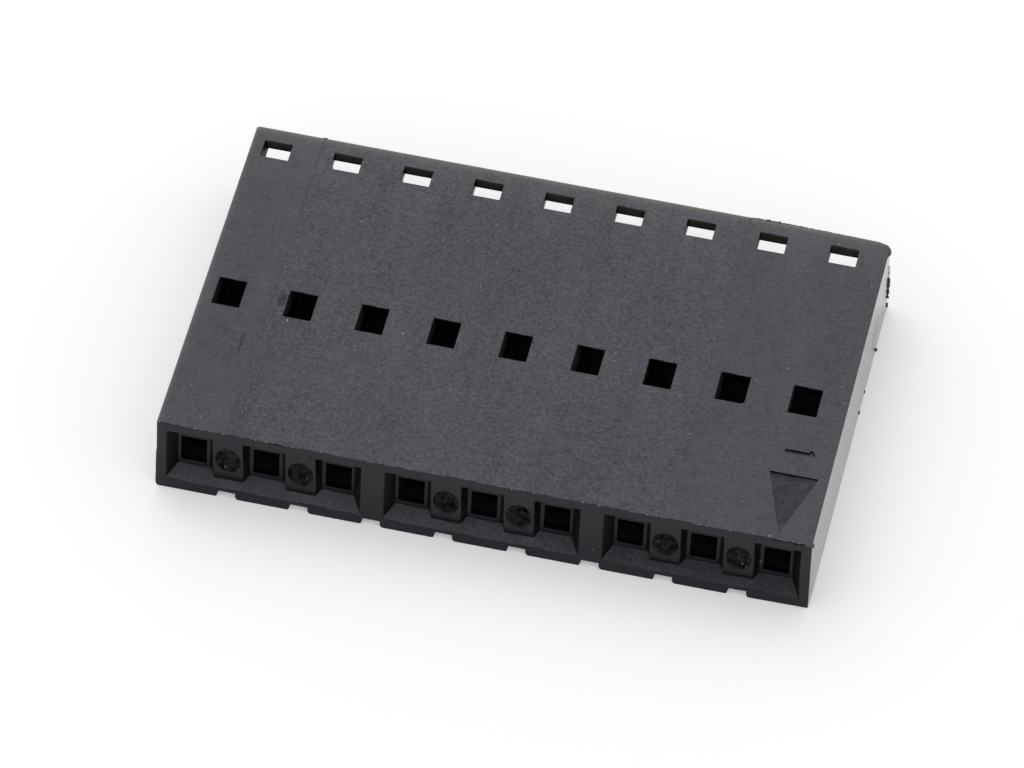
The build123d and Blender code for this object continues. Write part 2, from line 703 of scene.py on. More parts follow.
    def clean(self, work: bmesh.types.BMesh) -> None:
        """Merge the loose triangles into plain faces, none of them with a hole in it.

        Args:
            work: The copy of the solid, in metres.
        """
        bmesh.ops.remove_doubles(work, verts=work.verts, dist=self.merge * MM)
        middle = (self.circuits - 1) / 2
        for circuit in range(self.circuits):
            self.slice(work, 0, (circuit - middle) * self.pitch + self.opening_shift)
        for groove in range(self.circuits - 1):
            self.slice(work, 0, (groove + 0.5 - middle) * self.pitch)
        for joint in self.insert_joints:
            for side in (-self.joint_width / 2, self.joint_width / 2):
                self.slice(work, 0, joint + side)
        self.slice(work, 1, self.gate_from_middle)
        bmesh.ops.dissolve_limit(
            work,
            angle_limit=math.radians(self.flat_angle),
            verts=work.verts,
            edges=work.edges,
            use_dissolve_boundaries=False,
            delimit={"SEAM"},
        )

    @staticmethod
    def slice(work: bmesh.types.BMesh, axis: int, level: float) -> None:
        """Cut the mesh across an axis and keep the cut as a seam.

        Args:
            work: The mesh to cut, in metres.
            axis: 0, 1 or 2 for X, Y or Z.
            level: Where it is cut, in mm.
        """
        across = Vector(1.0 if i == axis else 0.0 for i in range(3))
        cut = bmesh.ops.bisect_plane(
            work,
            geom=work.verts[:] + work.edges[:] + work.faces[:],
            dist=1e-8,
            plane_co=across * level * MM,
            plane_no=across,
        )
        for item in cut["geom_cut"]:
            if isinstance(item, bmesh.types.BMEdge):
                item.seam = True

    def close_gate(self, work: bmesh.types.BMesh) -> None:
        """Bring the gate mark's floor out to the end face, where only its rim still shows.

        Args:
            work: The cleaned solid, in metres.
        """
        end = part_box("housing")[1].x
        for vert in work.verts:
            sunk = (end - vert.co.x) / MM
            if self.in_gate(vert.co / MM) and self.gate_sunk / 10 < sunk < self.gate_sunk:
                vert.co.x = end
        bmesh.ops.remove_doubles(work, verts=work.verts, dist=self.merge * MM)

    def in_gate(self, place: Vector) -> bool:
        """Tell whether a place, in mm, lies on the gate mark of the +X end."""
        across = math.hypot(place.y - self.gate_from_middle, place.z - self.gate_level)
        return place.x > 0 and across < self.gate_diameter / 2 + 2 * self.merge

    def draft_walls(self, work: bmesh.types.BMesh) -> None:
        """Widen both ends towards the foot: evenly at +X, mostly in the parting line at -X.

        The recess end at +X leans out towards its foot, and the foot of the mating face flares.

        Args:
            work: The cleaned solid, in metres.
        """
        for half_step in (self.parting_height / 2, -self.parting_height / 2):
            self.slice(work, 2, self.parting_level + half_step)
        low, high = box_mm()
        self.slice(work, 1, low.y + self.front_reach)
        end = high.x - self.end_reach
        for vert in work.verts:
            place = vert.co / MM
            from_front = place.y - low.y
            down = 1 - place.z / high.z
            if place.x > end:
                share = self.corner_draft if from_front < self.end_reach else 1.0
                vert.co.x += (self.draft * share * down - self.draft_top) * MM
            elif place.x < -end:
                stepped = self.parting_step if place.z < self.parting_level else 0.0
                vert.co.x -= (self.draft_left * down + stepped) * MM
            elif place.x > self.recess_end and from_front < self.recess_depth:
                if self.recess_foot[0] < place.z < self.recess_foot[1]:
                    vert.co.x += self.recess_end_lean * MM
            if from_front < NEAR:
                flare = self.foot_flare * max(0.0, 1 - place.z / self.foot_height)
                fade = 1 - self.front_fade * max(0.0, 1 - (high.x - place.x) / self.pitch)
                vert.co.y -= (self.draft_front * down + flare) * fade * MM

    def stray_walls(self, work: bmesh.types.BMesh) -> None:
        """Move the walls of the openings and grooves as far as the mould's cores strayed.

        Args:
            work: The solid with its parting line, in metres.
        """
        low, high = box_mm()
        middle = (self.circuits - 1) / 2
        half = self.opening_width / 2
        for vert in work.verts:
            place = vert.co / MM
            groove = min(max(math.floor(place.x / self.pitch + middle), 0), self.circuits - 2)
            beside = place.x - (groove + 0.5 - middle) * self.pitch
            if abs(beside) < self.groove_reach and place.z < self.groove_depth + NEAR / 2:
                walls = self.groove_left if beside < 0 else self.groove_right
                vert.co.x += walls[groove] * MM
                if place.z > self.groove_depth - NEAR / 2:
                    vert.co.z -= self.groove_sag * MM
            circuit = round(place.x / self.pitch + middle)
            across = place.x - (circuit - middle) * self.pitch - self.opening_shift
            from_front, down = place.y - low.y, high.z - place.z
            if abs(across) < half + NEAR and down < self.top_wall + NEAR:
                for row in self.opening_rows:
                    at_foot = down > self.top_wall - NEAR
                    vert.co += row.stray(circuit, across, half, from_front, at_foot) * MM

    def wear_corner(self, work: bmesh.types.BMesh) -> None:
        """Round the rear corner beside circuit 1, most of all at the top.

        Args:
            work: The solid with its parting line, in metres.
        """
        high = box_mm()[1]
        for share in self.corner_cuts:
            self.slice(work, 0, high.x - self.corner_reach * (1 - share))
        for vert in work.verts:
            place = vert.co / MM
            along = 1 - (high.x - place.x) / self.corner_reach
            up = (place.z - self.corner_foot) / (high.z - self.corner_foot)
            if along > 0 and up > 0 and place.y > high.y - self.corner_depth:
                vert.co.y -= self.corner_wear * min(along, 1.0) ** 2 * up * MM

    def engrave(self, block: bpy.types.Object) -> None:
        """Cut the circuit number 1 into the top; it reads from the +X end.

        Args:
            block: The block that gets the number.
        """
        foot_x, foot_y = self.numeral_foot
        half, tip = self.numeral_stroke / 2, foot_x + self.numeral_height
        # The stroke, with the flag of the 1 on one side of its tip.
        outline = [
            (foot_x, foot_y - half),
            (tip, foot_y - half),
            (tip, foot_y + half * 0.4),
            (tip - 1.2 * half, foot_y + 2.2 * half),
            (tip - 2.6 * half, foot_y + 2.2 * half),
            (tip - 2.2 * half, foot_y + half),
            (foot_x, foot_y + half),
        ]
        floor = box_mm()[1].z - self.numeral_depth
        work = bmesh.new()
        base = work.faces.new([work.verts.new(Vector((x, y, floor)) * MM) for x, y in outline])
        grown = bmesh.ops.extrude_face_region(work, geom=[base])
        raised = [v for v in grown["geom"] if isinstance(v, bmesh.types.BMVert)]
        bmesh.ops.translate(work, verts=raised, vec=(0, 0, 2 * self.numeral_depth * MM))
        bmesh.ops.recalc_face_normals(work, faces=work.faces)
        cutter = new_object("numeral_cutter", written(work, bpy.data.meshes.new("numeral_cutter")))
        cut = block.modifiers.new("circuit_number", "BOOLEAN")
        cut.operation, cut.solver, cut.object = "DIFFERENCE", "EXACT", cutter
        frozen(block)
        bpy.data.objects.remove(cutter)

    def skin_at(self, centre: Vector, normal: Vector) -> Skin:
        """Tell which region of the mould made a face.

        Args:
            centre: The middle of the face, in mm.
            normal: Where it looks.

        Returns:
            Its skin.
        """
        low, high = box_mm()
        left, right = self.insert_joints
        from_front, from_rear = centre.y - low.y, high.y - centre.y
        down = high.z - centre.z
        if normal.z > STRAIGHT and down < NEAR:
            if min(abs(centre.x - left), abs(centre.x - right)) < self.joint_width / 2:
                return Skin.WITNESS
            return Skin.ERODED if left < centre.x < right else Skin.INSERT
        if normal.z > STRAIGHT and down < self.mark_depth:
            in_numeral = centre.y > self.numeral_foot[1] - self.numeral_stroke
            return Skin.INSERT if in_numeral else Skin.TRIANGLE
        if self.is_engraved(centre):
            return Skin.SIDE
        if normal.z < -STRAIGHT and centre.z < self.mark_depth:
            return Skin.ERODED
        if abs(normal.x) > SIDEWAYS and abs(centre.x) > high.x - self.mark_depth:
            return Skin.GATE if self.in_gate(centre) else Skin.GROUND
        if from_front < self.face_depth:
            if 0.3 < normal.z < STRAIGHT + 0.05:
                return Skin.SILL
            if abs(normal.x) > 0.3:
                return Skin.SIDE
            return Skin.SMOOTH if from_front < NEAR else Skin.CORE
        if from_rear < self.rear_rim or centre.z < self.lower_rim:
            return Skin.SMOOTH
        if down > self.top_wall or abs(normal.z) > 0.5:
            return Skin.CAVITY
        # Of an opening's walls, the locking slot's get the pale slot skin and the window's left one
        # the paler cavity skin: painted light where light falls into the openings.
        if from_rear > self.slot_reach:
            return Skin.CAVITY if normal.x > SIDEWAYS else Skin.SIDE
        return Skin.SLOT if normal.x < SIDEWAYS else Skin.SIDE

    def is_engraved(self, centre: Vector) -> bool:
        """Tell whether a face lies in a mark of the top, below the top and clear of its edges.

        Args:
            centre: The middle of the face, in mm.

        Returns:
            Whether it does.
        """
        low, high = box_mm()
        ends, front, rear = self.mark_clear
        clear = abs(centre.x) < high.x - ends and low.y + front < centre.y < high.y - rear
        return clear and self.merge < high.z - centre.z < self.mark_depth

    def break_edges(self, block: bpy.types.Object) -> None:
        """Round every sharp edge as far as a mould's own edges are rounded, marks the least.

        Args:
            block: The block, dressed; its modifiers are applied.
        """
        work = bmesh.new()
        work.from_mesh(block.data)
        plain = BVHTree.FromBMesh(work)
        weight = work.edges.layers.float.new("bevel_weight_edge")
        for edge in work.edges:
            if edge.calc_face_angle(0.0) > math.radians(self.sharp_angle):
                beside = [face.calc_center_median() / MM for face in edge.link_faces]
                edge[weight] = self.mark_share if any(map(self.is_engraved, beside)) else 1.0
        written(work, block.data)
        bevel = block.modifiers.new("broken_edges", "BEVEL")
        bevel.width = self.edge_break * MM
        bevel.segments = self.edge_segments
        bevel.limit_method = "WEIGHT"
        bevel.miter_outer = "MITER_SHARP"
        bevel.use_clamp_overlap = False
        frozen(block)
        # Where roundings meet, the bevel leaves a few corners off the surface: they go back on it.
        furthest = self.stray_share * self.edge_break * MM
        for vert in block.data.vertices:
            place, _, _, distance = plain.find_nearest(vert.co)
            if distance > furthest:
                vert.co = place


@dataclass
class GrownPiece:
    """A piece that a geometry tree grows on a plain mesh.

    Args:
        name: Name of the piece.
        finish: What it looks like.
    """

    name: str
    finish: Finish

    def sizes(self) -> dict[str, int | float]:
        """Give the tree's named inputs, in metres where they are lengths."""
        raise NotImplementedError

    def ground(self) -> bpy.types.Mesh:
        """Give the mesh that the tree grows the piece on."""
        raise NotImplementedError

    def wire(self, tree: bpy.types.NodeTree, given: bpy.types.NodeOutputs) -> bpy.types.Node:
        """Add the nodes that grow the piece, and return the last one."""
        raise NotImplementedError

    def build(self) -> bpy.types.Object:
        """Wire the tree, run it on the ground and keep what it makes as a plain mesh.

        Returns:
            The finished piece, at the origin, with no modifier left on it.
        """
        values = self.sizes() | {"Material": self.finish.material()}
        tree = bpy.data.node_groups.new(self.name, "GeometryNodeTree")
        sockets = {
            int: "NodeSocketInt",
            float: "NodeSocketFloat",
            bpy.types.Material: "NodeSocketMaterial",
        }
        for way in ("INPUT", "OUTPUT"):
            tree.interface.new_socket(
                name="Geometry", in_out=way, socket_type="NodeSocketGeometry"
            )
        inputs = {
            name: tree.interface.new_socket(
                name=name, in_out="INPUT", socket_type=sockets[type(value)]
            ).identifier
            for name, value in values.items()
        }
        given = add_node(tree, "NodeGroupInput").outputs
        plain = add_node(tree, "GeometryNodeRealizeInstances", {0: self.wire(tree, given)})
        links = {"Geometry": plain, "Material": given["Material"]}
        dressed = add_node(tree, "GeometryNodeSetMaterial", links)
        add_node(tree, "NodeGroupOutput", {0: dressed})
        piece = new_object(self.name, self.ground())
        grower = piece.modifiers.new(self.name, "NODES")
        grower.node_group = tree
        for name, identifier in inputs.items():
            grower[identifier] = values[name]
        return frozen(piece)


@dataclass
class TornCoreMarks(GrownPiece):
    """Torn skin in the oval core marks, one in every post of the mating face. Sizes in mm.

    Args:
        groups: How many groups of circuits there are.
        posts: How many posts a group has.
        group_pitch: Spacing of the groups.
        post_pitch: Spacing of the posts.
        width: Width of the oval.
        height: Height of the oval.
        level: Its middle above the underside.
        lean: How far the post's face leans back for each millimetre down.
        lean_top: Where the lean starts.
        bowl: Mean depth of the torn skin.
        relief: How far the tears swing it.
        floor: The deepest that the core reached.
        back: How far behind that the piece's hidden back lies, against the floor.
        tear: Size of the tears.
        steps: Points along each side of the oval's grid.
    """

    name: str = "torn_core_marks"
    finish: Finish = TornAndShadowThermoplastic()
    groups: int = 3
    posts: int = 2
    group_pitch: float = 7.62
    post_pitch: float = 2.54
    width: float = 0.9
    height: float = 1.25
    level: float = 1.70
    lean: float = 0.107
    lean_top: float = 2.76
    bowl: float = 0.15
    relief: float = 0.55
    floor: float = 0.31
    back: float = 1.3
    tear: float = 0.3
    steps: int = 34

    def sizes(self) -> dict[str, int | float]:
        """Give the rows' counts, pitches and starts, and the sizes of the torn relief.

        Returns:
            The tree's inputs by name.
        """
        sizes = {
            "Face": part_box("housing")[0].y,
            "Level": self.level * MM,
            "Lean": self.lean,
            "Lean top": self.lean_top * MM,
            "Bowl": self.bowl * MM,
            "Relief": self.relief * MM,
            "Floor": self.floor * MM,
            "Back": self.back * self.floor * MM,
            "Tears per metre": 1 / (self.tear * MM),
        }
        rows = {"Post": (self.posts, self.post_pitch), "Group": (self.groups, self.group_pitch)}
        for row, (count, pitch) in rows.items():
            sizes[f"{row} count"] = count
            sizes[f"{row} pitch"] = pitch * MM
            sizes[f"{row} start"] = (1 - count) / 2 * pitch * MM
        return sizes

    def ground(self) -> bpy.types.Mesh:
        """Draw a square grid out to the oval of one mark, upright and facing -Y.

        Returns:
            The oval, with how far each point lies towards the rim.
        """
        spread = [2 * i / (self.steps - 1) - 1 for i in range(self.steps)]
        rounded = [
            (x * math.sqrt(1 - z * z / 2), z * math.sqrt(1 - x * x / 2))
            for x in spread
            for z in spread
        ]
        faces = [
            (i, i + self.steps, i + self.steps + 1, i + 1)
            for i in range(self.steps * (self.steps - 1))
            if (i + 1) % self.steps
        ]
        half_width, half_height = self.width / 2 * MM, self.height / 2 * MM
        mesh = bpy.data.meshes.new("core_mark_oval")
        mesh.from_pydata([(x * half_width, 0, z * half_height) for x, z in rounded], [], faces)
        reach = mesh.attributes.new("reach", "FLOAT", "POINT")
        reach.data.foreach_set("value", [x * x + z * z for x, z in rounded])
        return mesh

    def wire(self, tree: bpy.types.NodeTree, given: bpy.types.NodeOutputs) -> bpy.types.Node:
        """Set an oval on every post, and tear each by its own place into a closed lens.

        Args:
            tree: The tree to wire.
            given: Its named inputs.

        Returns:
            The node that closes the lenses.
        """
        ovals = given["Geometry"]
        for row in ("Post", "Group"):
            start = add_node(tree, "ShaderNodeCombineXYZ", {0: given[f"{row} start"]})
            step = add_node(tree, "ShaderNodeCombineXYZ", {0: given[f"{row} pitch"]})
            links = {"Count": given[f"{row} count"], "Start Location": start, "Offset": step}
            points = add_node(tree, "GeometryNodeMeshLine", links)
            links = {"Points": points, "Instance": ovals}
            ovals = add_node(tree, "GeometryNodeInstanceOnPoints", links)
        ovals = add_node(tree, "GeometryNodeRealizeInstances", {0: ovals})
        lift = add_node(tree, "ShaderNodeCombineXYZ", {1: given["Face"], 2: given["Level"]})
        placed = add_node(tree, "GeometryNodeSetPosition", {"Geometry": ovals, "Offset": lift})

        place = add_node(tree, "GeometryNodeInputPosition")
        noise = {"Vector": place, "Scale": given["Tears per metre"]}
        folds = noise | {"Detail": 2.0, "Roughness": 0.5, "Distortion": 0.8}
        known = {
            "rim": add_node(
                tree, "GeometryNodeInputNamedAttribute", {"Name": "reach"}, data_type="FLOAT"
            ),
            "folds": add_node(tree, "ShaderNodeTexNoise", folds),
            "facets": add_node(tree, "ShaderNodeTexVoronoi", noise),
            "z": add_node(tree, "ShaderNodeSeparateXYZ", {0: place}).outputs[2],
        } | {size: given[size] for size in ("Bowl", "Relief", "Floor", "Back", "Lean", "Lean top")}
        # The relief fades to nothing at the rim, and the face leans back towards the foot.
        for name, operation, *operands in (
            ("rim", "POWER", "rim", 3.0),
            ("inside", "SUBTRACT", 1.0, "rim"),
            ("rough", "MULTIPLY_ADD", "facets", 0.5, "folds"),
            ("rough", "SUBTRACT", "rough", 0.75),
            ("torn", "MULTIPLY_ADD", "rough", "Relief", "Bowl"),
            ("depth", "MULTIPLY", "inside", "torn"),
            ("down", "SUBTRACT", "Lean top", "z"),
            ("leant", "MULTIPLY_ADD", "down", "Lean", "depth"),
            ("skin", "MINIMUM", "leant", "Floor"),
            ("hidden", "MULTIPLY", "inside", "Back"),
            ("back", "MULTIPLY_ADD", "down", "Lean", "hidden"),
        ):
            links = {i: known.get(operand, operand) for i, operand in enumerate(operands)}
            known[name] = add_node(tree, "ShaderNodeMath", links, operation=operation)
        skin, back = (
            add_node(
                tree,
                "GeometryNodeSetPosition",
                {
                    "Geometry": placed,
                    "Offset": add_node(tree, "ShaderNodeCombineXYZ", {1: known[side]}),
                },
            )
            for side in ("skin", "back")
        )
        back = add_node(tree, "GeometryNodeFlipFaces", {0: back})
        both = add_node(tree, "GeometryNodeJoinGeometry", {0: [skin, back]})
        links = {"Geometry": both, "Distance": 1e-7}
        return add_node(tree, "GeometryNodeMergeByDistance", links)


@dataclass
class FibreFlecks(GrownPiece):
    """Bare fibre ends in the top, strewn by a seed, and the larger chips. Sizes are in mm.

    Args:
        block: The finished block, whose top they lie in.
        density: Ends per square millimetre.
        smallest: Half length of the smallest end.
        largest: Half length of the largest end.
        flatness: Height of an end against its half length.
        seed: Of the strewing.
        edge_specks: How many specks break the front edge of the top.
        speck_spread: How far behind the front face they lie.
        speck_sunk: How far under the top.
        top_within: How far under the top a face still belongs to it.
        chips: The larger chips: X, Y and Z of each, and its half length.
    """

    name: str = "fibre_flecks"
    finish: Finish = GlassFibreEnds()
    block: bpy.types.Object | None = None
    density: float = 0.5
    smallest: float = 0.013
    largest: float = 0.034
    flatness: float = 0.3
    seed: int = 7
    edge_specks: int = 140
    speck_spread: float = 0.03
    speck_sunk: float = 0.008
    top_within: float = 0.001
    chips: tuple[tuple[float, float, float, float], ...] = (
        (-8.17, -1.58, 3.15, 0.055),
        (7.84, -1.46, 3.15, 0.05),
        (6.36, -3.30, 3.15, 0.045),
        (6.36, -2.60, 3.15, 0.045),
        (6.40, 1.88, 3.15, 0.04),
        (6.37, -6.08, 3.15, 0.04),
        (6.36, 5.30, 3.15, 0.03),
        (3.17, -0.62, 3.15, 0.035),
        (3.91, 0.37, 3.15, 0.035),
        (-4.36, -6.09, 3.15, 0.035),
        (-6.75, 3.64, 3.15, 0.045),
        (-4.18, -1.18, 3.15, 0.035),
        (9.88, -7.16, 3.15, 0.06),
        (9.34, -7.19, 3.15, 0.05),
        (11.08, 5.06, 3.15, 0.035),
        (3.91, -7.25, 0.89, 0.045),
        (9.65, -7.13, 1.76, 0.045),
    )

    def sizes(self) -> dict[str, int | float]:
        """Give how dense the ends lie, how large they are and the seed."""
        return {
            "Density": self.density / MM**2,
            "Smallest": self.smallest * MM,
            "Largest": self.largest * MM,
            "Flatness": self.flatness,
            "Seed": self.seed,
        }

    def ground(self) -> bpy.types.Mesh:
        """Copy the block's top faces, and add a loose point for each chip and edge speck.

        Returns:
            The mesh that the flecks are strewn on.
        """
        low, high = box_mm()
        draw = random.Random(self.seed)
        specks = [
            (
                draw.uniform(low.x, high.x),
                low.y + draw.uniform(0.0, self.speck_spread),
                high.z - self.speck_sunk,
            )
            for _ in range(self.edge_specks)
        ]
        halves = [draw.uniform(self.smallest, self.largest) for _ in specks]
        top = (high.z - self.top_within) * MM
        work = bmesh.new()
        work.from_mesh(self.block.data)
        away = [
            face
            for face in work.faces
            if face.normal.z < STRAIGHT or face.calc_center_median().z < top
        ]
        bmesh.ops.delete(work, geom=away, context="FACES")
        size = work.verts.layers.float.new("size")
        for place, half in [(chip[:3], chip[3]) for chip in self.chips] + list(zip(specks, halves)):
            work.verts.new(Vector(place) * MM)[size] = half * MM
        return written(work, bpy.data.meshes.new("fleck_ground"))

    def wire(self, tree: bpy.types.NodeTree, given: bpy.types.NodeOutputs) -> bpy.types.Node:
        """Put a small flat grain on every strewn and given point.

        Args:
            tree: The tree to wire.
            given: Its named inputs.

        Returns:
            The node that sets the grains.
        """
        links = {"Mesh": given["Geometry"], "Density": given["Density"], "Seed": given["Seed"]}
        strewn = add_node(tree, "GeometryNodeDistributePointsOnFaces", links)
        links = {"Min": given["Smallest"], "Max": given["Largest"], "Seed": given["Seed"]}
        half = add_node(tree, "FunctionNodeRandomValue", links, data_type="FLOAT")
        strewn = add_node(
            tree,
            "GeometryNodeStoreNamedAttribute",
            {"Geometry": strewn, "Name": "size", "Value": half.outputs["Value"]},
            data_type="FLOAT",
            domain="POINT",
        )
        size = add_node(
            tree, "GeometryNodeInputNamedAttribute", {"Name": "size"}, data_type="FLOAT"
        )
        is_given = add_node(
            tree, "FunctionNodeCompare", {"A": size, "B": 0.0}, operation="GREATER_THAN"
        )
        links = {"Mesh": given["Geometry"], "Selection": is_given}
        chips = add_node(tree, "GeometryNodeMeshToPoints", links)
        points = add_node(tree, "GeometryNodeJoinGeometry", {0: [strewn, chips]})
        links = {"Radius": 1.0, "Subdivisions": 1}
        grain = add_node(tree, "GeometryNodeMeshIcoSphere", links)
        turn = add_node(
            tree,
            "FunctionNodeRandomValue",
            {"Min": (0.0, 0.0, 0.0), "Max": (0.4, 0.4, math.tau), "Seed": given["Seed"]},
            data_type="FLOAT_VECTOR",
        )
        links = {0: 1.0, 1: 0.6, 2: given["Flatness"]}
        proportions = add_node(tree, "ShaderNodeCombineXYZ", links)
        links = {0: proportions, "Scale": size}
        scale = add_node(tree, "ShaderNodeVectorMath", links, operation="SCALE")
        links = {
            "Points": points,
            "Instance": grain,
            "Rotation": turn.outputs["Value"],
            "Scale": scale,
        }
        return add_node(tree, "GeometryNodeInstanceOnPoints", links)


@dataclass(frozen=True)
class FlashOrPaintedLightRun:
    """One run of flash, or of a bead that paints a glint or a shadow: where it goes, and how thick
    it is at each point. Sizes are in mm.
    """

    points: tuple[Triple, ...]
    thickness: tuple[float, ...]


@dataclass
class MouldFlashAndGlints(GrownPiece):
    """Thin ragged flash where the mould's parts met, and pale beads that paint glints in the core
    marks. Sizes are in mm.

    Args:
        runs: The runs of flash and of painted glints.
        step: Spacing of its rags.
        ragged: How far the rags stray, against the thickness.
        rag: Size of the rags.
    """

    name: str = "mould_flash_and_painted_glints"
    finish: Finish = MouldedThermoplastic("torn_flash_and_glint_thermoplastic", "2c2c2e", "5e5e62", 0.5)
    runs: tuple[FlashOrPaintedLightRun, ...] = (
        # Steps in the rear edge where the insert joints reach it.
        FlashOrPaintedLightRun(((-9.02, 7.23, 3.13), (-8.82, 7.24, 3.13)), (0.02, 0.035)),
        FlashOrPaintedLightRun(
            ((6.44, 7.235, 3.12), (7.3, 7.245, 3.12), (8.3, 7.24, 3.12), (9.6, 7.235, 3.12)),
            (0.045, 0.045, 0.035, 0.02),
        ),
        # Lip round the rear corner beside circuit 1.
        FlashOrPaintedLightRun(
            (
                (11.22, 7.06, 3.11),
                (11.35, 6.97, 3.11),
                (11.4, 6.86, 3.11),
                (11.4, 6.74, 3.11),
                (11.36, 6.58, 3.11),
            ),
            (0.02, 0.05, 0.055, 0.05, 0.01),
        ),
        # Torn bar down the rear corner, and the crumb under it.
        FlashOrPaintedLightRun(((11.41, 7.1, 2.15), (11.42, 7.12, 1.55)), (0.01, 0.016)),
        FlashOrPaintedLightRun(((11.43, 7.12, 1.5), (11.44, 7.1, 1.0), (11.45, 7.06, 0.6)), (0.035, 0.04, 0.05)),
        FlashOrPaintedLightRun(((11.46, 7.12, 0.24), (11.46, 7.1, 0.06)), (0.045, 0.03)),
        # Crumbs on the foot of the end face.
        FlashOrPaintedLightRun(((11.45, 5.02, 0.06), (11.45, 4.95, 0.05)), (0.055, 0.055)),
        FlashOrPaintedLightRun(((11.45, 2.98, 0.07), (11.45, 2.9, 0.05)), (0.035, 0.035)),
        FlashOrPaintedLightRun(((11.45, 2.0, 0.08), (11.45, 1.86, 0.06)), (0.015, 0.03)),
        # Painted glints: pale beads in the core marks, from the last circuit's side to the first's.
        FlashOrPaintedLightRun(((-9.03, -7.05, 1.34), (-8.94, -7.05, 1.29)), (0.04, 0.045)),
        FlashOrPaintedLightRun(((-6.13, -7.05, 1.56), (-6.11, -7.05, 1.43)), (0.015, 0.035)),
        FlashOrPaintedLightRun(((0.89, -7.07, 1.82), (0.9, -7.07, 1.77)), (0.03, 0.03)),
        FlashOrPaintedLightRun(((0.9, -7.05, 1.49), (0.91, -7.05, 1.44)), (0.03, 0.03)),
        FlashOrPaintedLightRun(((6.08, -7.05, 1.73), (6.1, -7.05, 1.68)), (0.035, 0.035)),
        FlashOrPaintedLightRun(((9.0, -7.04, 1.41), (9.03, -7.04, 1.36)), (0.045, 0.045)),
        FlashOrPaintedLightRun(((9.14, -7.04, 1.27), (9.19, -7.04, 1.24)), (0.03, 0.03)),
        # Lip over the front corner beside circuit 1.
        FlashOrPaintedLightRun(
            ((11.1, -7.25, 3.12), (11.4, -7.26, 3.12), (11.39, -7.1, 3.12)), (0.02, 0.055, 0.02)
        ),
    )
    step: float = 0.05
    ragged: float = 0.6
    rag: float = 0.11

    def sizes(self) -> dict[str, int | float]:
        """Give the spacing of the rags, how far they stray and how many fit in a metre."""
        return {
            "Step": self.step * MM,
            "Ragged": self.ragged,
            "Rags per metre": 1 / (self.rag * MM),
        }

    def ground(self) -> bpy.types.Mesh:
        """Draw the runs as bare edges that know their thickness.

        Returns:
            The mesh of edges.
        """
        work = bmesh.new()
        thickness = work.verts.layers.float.new("thickness")
        for run in self.runs:
            verts = [work.verts.new(Vector(point) * MM) for point in run.points]
            for vert, size in zip(verts, run.thickness):
                vert[thickness] = size * MM
            for pair in zip(verts, verts[1:]):
                work.edges.new(pair)
        return written(work, bpy.data.meshes.new("flash_runs"))

    def wire(self, tree: bpy.types.NodeTree, given: bpy.types.NodeOutputs) -> bpy.types.Node:
        """Draw a ragged round bead along each run.

        Args:
            tree: The tree to wire.
            given: Its named inputs.

        Returns:
            The node that roughens the beads.
        """
        path = add_node(tree, "GeometryNodeMeshToCurve", {"Mesh": given["Geometry"]})
        links = {"Curve": path, "Length": given["Step"]}
        path = add_node(tree, "GeometryNodeResampleCurve", links, mode="LENGTH")
        place = add_node(tree, "GeometryNodeInputPosition")
        links = {"Vector": place, "Scale": given["Rags per metre"], "Detail": 2.0}
        rag = add_node(tree, "ShaderNodeTexNoise", links).outputs
        thickness = add_node(
            tree, "GeometryNodeInputNamedAttribute", {"Name": "thickness"}, data_type="FLOAT"
        )
        spread = {"From Min": 0.3, "From Max": 0.7, "To Min": 0.4, "To Max": 1.5}
        links = {"Value": rag["Fac"]} | spread
        swing = add_node(tree, "ShaderNodeMapRange", links)
        links = {0: thickness, 1: swing}
        radius = add_node(tree, "ShaderNodeMath", links, operation="MULTIPLY")
        path = add_node(tree, "GeometryNodeSetCurveRadius", {"Curve": path, "Radius": radius})
        links = {"Resolution": 7, "Radius": 1.0}
        profile = add_node(tree, "GeometryNodeCurvePrimitiveCircle", links)
        links = {"Curve": path, "Profile Curve": profile, "Scale": radius, "Fill Caps": True}
        bead = add_node(tree, "GeometryNodeCurveToMesh", links)
        links = {0: rag["Color"], 1: (0.5, 0.5, 0.5)}
        centred = add_node(tree, "ShaderNodeVectorMath", links, operation="SUBTRACT")
        links = {0: thickness, 1: given["Ragged"]}
        reach = add_node(tree, "ShaderNodeMath", links, operation="MULTIPLY")
        links = {0: centred, "Scale": reach}
        stray = add_node(tree, "ShaderNodeVectorMath", links, operation="SCALE")
        return add_node(tree, "GeometryNodeSetPosition", {"Geometry": bead, "Offset": stray})


@dataclass
class TornSliversAndShadow(MouldFlashAndGlints):
    """Dark slivers under the front top edge: torn ones at circuit 8, and at circuit 1 a dark bead
    of painted shadow under the lip over the front corner. Sizes are in mm.
    """

    name: str = "torn_slivers_and_painted_shadow"
    finish: Finish = TornAndShadowThermoplastic()
    runs: tuple[FlashOrPaintedLightRun, ...] = (
        FlashOrPaintedLightRun(
            ((-7.56, -7.24, 3.12), (-7.25, -7.235, 3.095), (-6.93, -7.245, 3.075)),
            (0.015, 0.055, 0.015),
        ),
        FlashOrPaintedLightRun(((-6.0, -7.26, 2.8), (-5.98, -7.26, 2.72)), (0.03, 0.035)),
        # Painted shadow: a dark bead under the front top edge at circuit 1, where the lip over the
        # front corner shades the face.
        FlashOrPaintedLightRun(
            ((9.95, -7.24, 3.1), (10.6, -7.235, 3.095), (11.2, -7.24, 3.09)), (0.03, 0.045, 0.05)
        ),
    )


